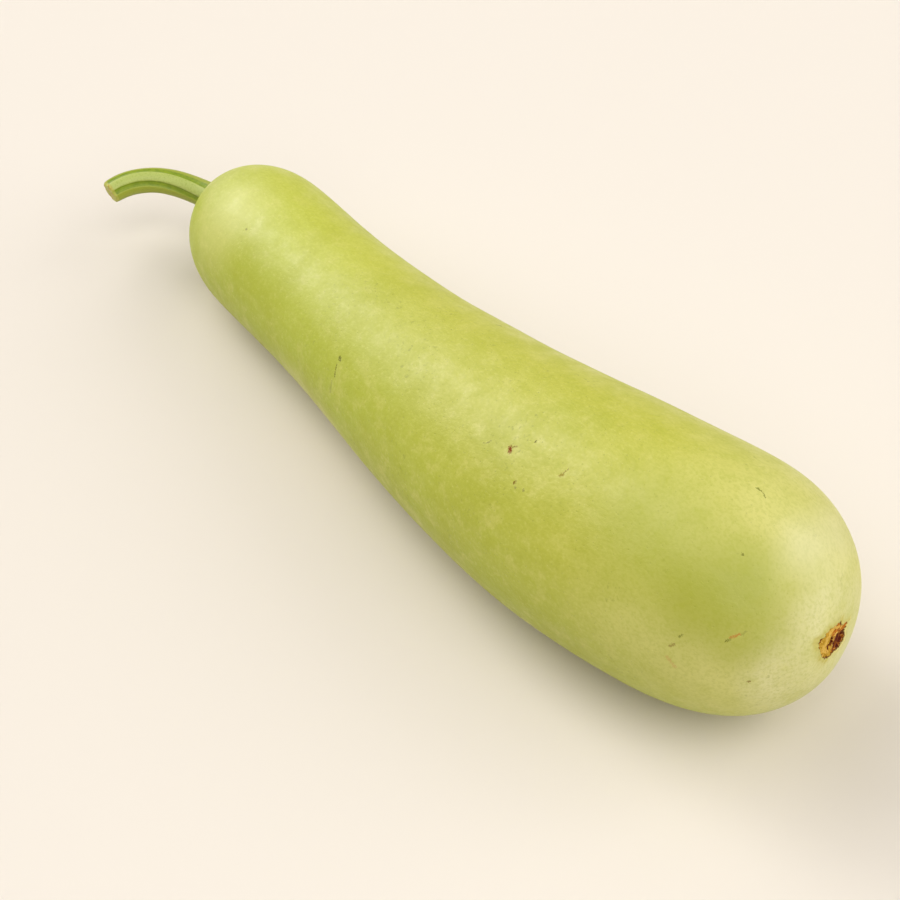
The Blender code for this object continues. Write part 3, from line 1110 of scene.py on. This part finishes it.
SCAR_BEDDED = 0.00035  # its edge runs this far under the skin's lip
SCAR_BELOW = 0.00025  # its surface lies this far under the skin's
SCAR_THICKNESS = 0.0019
SCAR_DISH = 0.00030  # it lies this much deeper inside its edge
SCAR_DISH_EDGE = 0.0016
SCAR_LUMPS = 0.00028
SCAR_GRAIN = 0.00020
SCAR_SHAKE = 0.0005  # how far the outlines of its pits and crusts wander
SCAR_PITS = (  # across and up from the middle, reach, depth
    (-0.0053, 0.0044, 0.0008, 0.0009),
    (-0.0045, 0.0050, 0.0007, 0.0008),
    (-0.0062, 0.0040, 0.0006, 0.0006),
    (-0.0035, 0.0045, 0.0004, 0.0005),
    (-0.0071, 0.0030, 0.0005, 0.0005),
    (-0.0072, 0.0015, 0.0006, 0.0005),
    (0.0004, -0.0001, 0.0008, 0.0009),
    (0.0000, -0.0016, 0.0010, 0.0011),
    (0.0048, -0.0003, 0.0006, 0.0007),
    (0.0045, -0.0027, 0.0016, 0.0009),
    (0.0074, -0.0028, 0.0011, 0.0008),
    (0.0062, -0.0050, 0.0013, 0.0007),
    (-0.0016, -0.0020, 0.0009, 0.0006),
    (0.0022, -0.0044, 0.0013, 0.0006),
    (0.0043, -0.0062, 0.0009, 0.0005),
    (-0.0013, 0.0059, 0.0004, 0.0004),
    (-0.0040, -0.0052, 0.0004, 0.0004),
    (-0.0025, -0.0060, 0.0004, 0.0004),
    (0.0095, 0.0006, 0.0006, 0.0004),
)
SCAR_CRUSTS = (  # across and up from the middle to across and up, reach, height
    (-0.0009, 0.0034, 0.0019, 0.0045, 0.0010, 0.00040),
    (-0.0023, 0.0027, -0.0036, 0.0011, 0.0009, 0.00045),
    (-0.0037, 0.0010, -0.0050, -0.0006, 0.0010, 0.00045),
    (-0.0048, -0.0010, -0.0026, -0.0032, 0.0009, 0.00045),
    (-0.0064, -0.0012, -0.0061, -0.0014, 0.0005, 0.00060),
    (-0.0048, -0.0034, -0.0045, -0.0037, 0.0005, 0.00055),
    (0.0036, 0.0008, 0.0014, 0.0007, 0.0003, 0.00050),
    (0.0014, 0.0006, 0.0012, -0.0018, 0.0003, 0.00050),
    (0.0012, -0.0018, 0.0003, -0.0040, 0.0003, 0.00050),
    (0.0034, 0.0030, 0.0050, 0.0022, 0.0006, 0.00030),
    (0.0058, 0.0012, 0.0082, 0.0009, 0.0005, 0.00030),
)
SCAR_BURNT = 0.0008  # the side beyond this, across, is burnt orange and brown
SCAR_BURNT_EDGE = 0.0035
SCAR_RIM = 0.0010
SCAR_GRID = 28
SCAR_CUTS = 3


def scar_place(across, upwards, depth):
    """The place this deep under the skin, at a distance across and up from the scar's middle."""
    start = scar_middle + scar_across * across + scar_upwards * upwards + scar_normal * 0.02
    found = smooth_skin.ray_cast(start, -scar_normal)[0]
    sink = SINK_DEPTH * fade(math.hypot(across, upwards), SINK_REACH)
    return found - scar_normal * (sink + depth)


def pit_share(flat):
    return max(fade(math.hypot(flat.x - a, flat.y - b), reach) for a, b, reach, _ in SCAR_PITS)


def crust_share(flat):
    share = 0
    for a, b, c, d, reach, _ in SCAR_CRUSTS:
        apart = from_segment(flat, Vector((a, b, 0)), Vector((c, d, 0)))
        share = max(share, fade(apart, reach))
    return share


def scar_depth(flat, inwards):
    """How far the cork lies under the skin here. inwards is the distance from its edge."""
    finer = flat * 900
    shake = Vector((noise.noise(finer), noise.noise(finer + Vector((5, 5, 5))), 0))
    shaken = flat + shake * SCAR_SHAKE
    depth = SCAR_BELOW + SCAR_DISH * smoothstep(inwards / SCAR_DISH_EDGE)
    depth += SCAR_LUMPS * noise.noise(flat * 800) + SCAR_GRAIN * noise.noise(flat * 2000)
    crumbled = 0.75 + 0.9 * noise.noise(flat * 1300 + Vector((3, 3, 3)))
    for a, b, reach, deep in SCAR_PITS:
        depth += deep * fade(math.hypot(shaken.x - a, shaken.y - b), reach)
    for a, b, c, d, reach, height in SCAR_CRUSTS:
        apart = from_segment(shaken, Vector((a, b, 0)), Vector((c, d, 0)))
        depth -= height * crumbled * fade(apart, reach)
    return min(max(depth, 0.00004), SCAR_THICKNESS - 0.0003)


def draw_scar():
    nothing_selected()
    bpy.ops.mesh.primitive_circle_add(vertices=4 * SCAR_GRID, radius=1, location=(0, 0, 0))
    made = bpy.context.object
    pick(made, lambda vertex: True)
    bpy.ops.mesh.fill_grid(span=SCAR_GRID)
    bpy.ops.mesh.select_all(action="SELECT")
    bpy.ops.mesh.subdivide(number_cuts=SCAR_CUTS)
    pick(made, lambda edge: edge.is_boundary, "EDGE")
    bpy.ops.mesh.extrude_edges_move(TRANSFORM_OT_translate={"value": (0, 0, -1)})
    close_end(SCAR_GRID * (SCAR_CUTS + 1))
    return made


def shape_scar(made):
    """Stretches the flat disc to the ragged outline, and gives it its depth under the skin."""
    shares = {"pit": [], "crust": [], "burnt": [], "rim": []}
    for vertex in made.data.vertices:
        share = math.hypot(vertex.co.x, vertex.co.y)
        angle = math.atan2(vertex.co.y, vertex.co.x)
        edge = scar_edge(math.degrees(angle)) + SCAR_BEDDED
        flat = Vector((math.cos(angle), math.sin(angle), 0)) * share * edge
        top = vertex.co.z > -0.5
        depth = scar_depth(flat, (1 - share) * edge) if top else SCAR_THICKNESS
        vertex.co = scar_place(flat.x, flat.y, depth)
        shares["pit"].append(pit_share(flat))
        shares["crust"].append(crust_share(flat))
        shares["burnt"].append(smoothstep((flat.x - SCAR_BURNT) / SCAR_BURNT_EDGE + 0.5))
        shares["rim"].append(fade((1 - share) * edge, SCAR_RIM))
    paint(made, shares)


scar = draw_scar()
scar.name = "scar_cork"
shape_scar(scar)
work_on(scar)
bpy.ops.object.shade_smooth()

CORK_OCHRE = (0.53, 0.31, 0.026)
CORK_TAN = (0.68, 0.42, 0.075)
CORK_PALE = (0.76, 0.52, 0.130)
CORK_DARK = (0.34, 0.15, 0.010)
CORK_ORANGE = (0.50, 0.15, 0.008)
CORK_BROWN = (0.22, 0.055, 0.002)
CORK_MAROON = (0.085, 0.008, 0.001)


def cork_finish():
    """Dry cork: ochre with paler crusts on one side, burnt orange on the other, dark in its pits."""
    made, tree, shader = new_finish("dry_cork", Roughness=0.8, Specular_IOR_Level=0.15)
    where = put(tree, "TexCoord").outputs["Object"]
    blotch = cloud(tree, where, 520, 4, roughness=0.65)
    fine = cloud(tree, where, 1900, 4, roughness=0.65)
    pit = painted(tree, "pit")
    crust = painted(tree, "crust")
    burnt = painted(tree, "burnt")
    rim = painted(tree, "rim")
    ragged = times(tree, fine, 1.1)
    patchy = reckon(tree, "ADD", times(tree, burnt, 0.45), blotch)
    colour = blend(tree, ramp(tree, patchy, (0.55, 0.0), (0.80, 1.0)), CORK_OCHRE, CORK_ORANGE)
    charred = times(tree, burnt, ramp(tree, blotch, (0.48, 0.0), (0.60, 0.8)))
    colour = blend(tree, charred, colour, CORK_BROWN)
    pale_rim = times(tree, rim, reckon(tree, "SUBTRACT", 0.7, burnt))
    colour = blend(tree, pale_rim, colour, CORK_OCHRE)
    raised = reckon(tree, "ADD", crust, ragged)
    sunken = reckon(tree, "ADD", pit, ragged)
    for pattern, first, second, tint in (
        (fine, (0.50, 0.0), (0.62, 0.6), CORK_DARK),
        (raised, (0.95, 0.0), (1.40, 1.0), CORK_TAN),
        (fine, (0.36, 0.55), (0.46, 0.0), CORK_PALE),
        (sunken, (0.62, 0.0), (0.84, 1.0), CORK_BROWN),
        (sunken, (0.95, 0.0), (1.20, 1.0), CORK_MAROON),
    ):
        colour = blend(tree, ramp(tree, pattern, first, second), colour, tint)
    wire(tree, colour, shader, "Base Color")
    wire(tree, ramp(tree, fine, (0.3, 0.7), (0.7, 0.9)), shader, "Roughness")
    wire(tree, bump(tree, fine, 0.00020), shader, "Normal")
    return made


scar.data.materials.append(cork_finish())
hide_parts("blossom_scar")
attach(scar, "root")


# ---- The floor ------------------------------------------------------------------------------
# A plain cream studio sweep, wide enough to fill the view from every side. It is matt, so
# nothing is mirrored in it.

nothing_selected()
bpy.ops.mesh.primitive_plane_add(size=60, location=(0, 0, 0))
floor = bpy.context.object
floor.name = "studio_floor"
cream, _, _ = new_finish(
    "cream_paper", Base_Color=(0.840, 0.763, 0.668, 1), Roughness=0.9, Specular_IOR_Level=0.0
)
floor.data.materials.append(cream)


# ---- The light ------------------------------------------------------------------------------
# Broad soft studio lights stand all round, and a smaller one on the left gives the wax its
# sheen. The room itself is seen and mirrored, but gives no light.

def way_to(bearing, height):
    """The direction at this bearing and this height, both in degrees."""
    around = math.radians(bearing)
    level = math.cos(math.radians(height))
    return Vector((level * math.cos(around), level * math.sin(around), math.sin(math.radians(height))))


def soft_light(name, bearing, height, spread, strength):
    """A far round softbox at this bearing and height, this many degrees across."""
    nothing_selected()
    bpy.ops.object.light_add(type="SUN")
    lamp = bpy.context.object
    lamp.name = name
    lamp.data.name = name
    lamp.data.energy = strength
    lamp.data.angle = math.radians(spread)
    lamp.rotation_euler = way_to(bearing, height).to_track_quat("Z", "Y").to_euler()


soft_light("left_softbox", -176, 31, 68, 1.22)
soft_light("left_window", -170, 34, 22, 0.50)
soft_light("left_high_softbox", -140, 46, 60, 0.92)
soft_light("front_softbox", -25, 50, 60, 1.52)
soft_light("right_softbox", 44, 27, 64, 1.58)
soft_light("back_softbox", 86, 42, 36, 0.30)

room = bpy.data.worlds.new("cream_room")
room.use_nodes = True
backdrop = room.node_tree.nodes["Background"]
backdrop.inputs["Color"].default_value = (0.939, 0.863, 0.745, 1)
rays = put(room.node_tree, "LightPath").outputs
mirrored = times(room.node_tree, rays["Is Glossy Ray"], 0.55)
strength = reckon(room.node_tree, "ADD", rays["Is Camera Ray"], mirrored)
wire(room.node_tree, strength, backdrop, "Strength")
bpy.context.scene.world = room
bpy.context.scene.view_settings.view_transform = "Standard"


# ---- The camera -----------------------------------------------------------------------------
# It looks down on the gourd from over its belly, along a long lens, and is placed from the
# middle of the whole gourd's box.

CAMERA_DISTANCE = 0.9371
CAMERA_HEIGHT = 43.33  # degrees
CAMERA_BEARING = -39.23
CAMERA_SPREAD = 20
AIM = Vector((0.0286, -0.0196, -0.0087))  # from the middle of the box

nothing_selected()
bpy.ops.object.camera_add()
camera = bpy.context.object
camera.name = "camera"
camera.data.angle = math.radians(CAMERA_SPREAD)
camera.data.clip_start = 0.01
camera.data.clip_end = 100
back = way_to(CAMERA_BEARING, CAMERA_HEIGHT)
camera.location = (cad_low + cad_high) / 2 + AIM + back * CAMERA_DISTANCE
camera.rotation_euler = back.to_track_quat("Z", "Y").to_euler()
bpy.context.scene.camera = camera
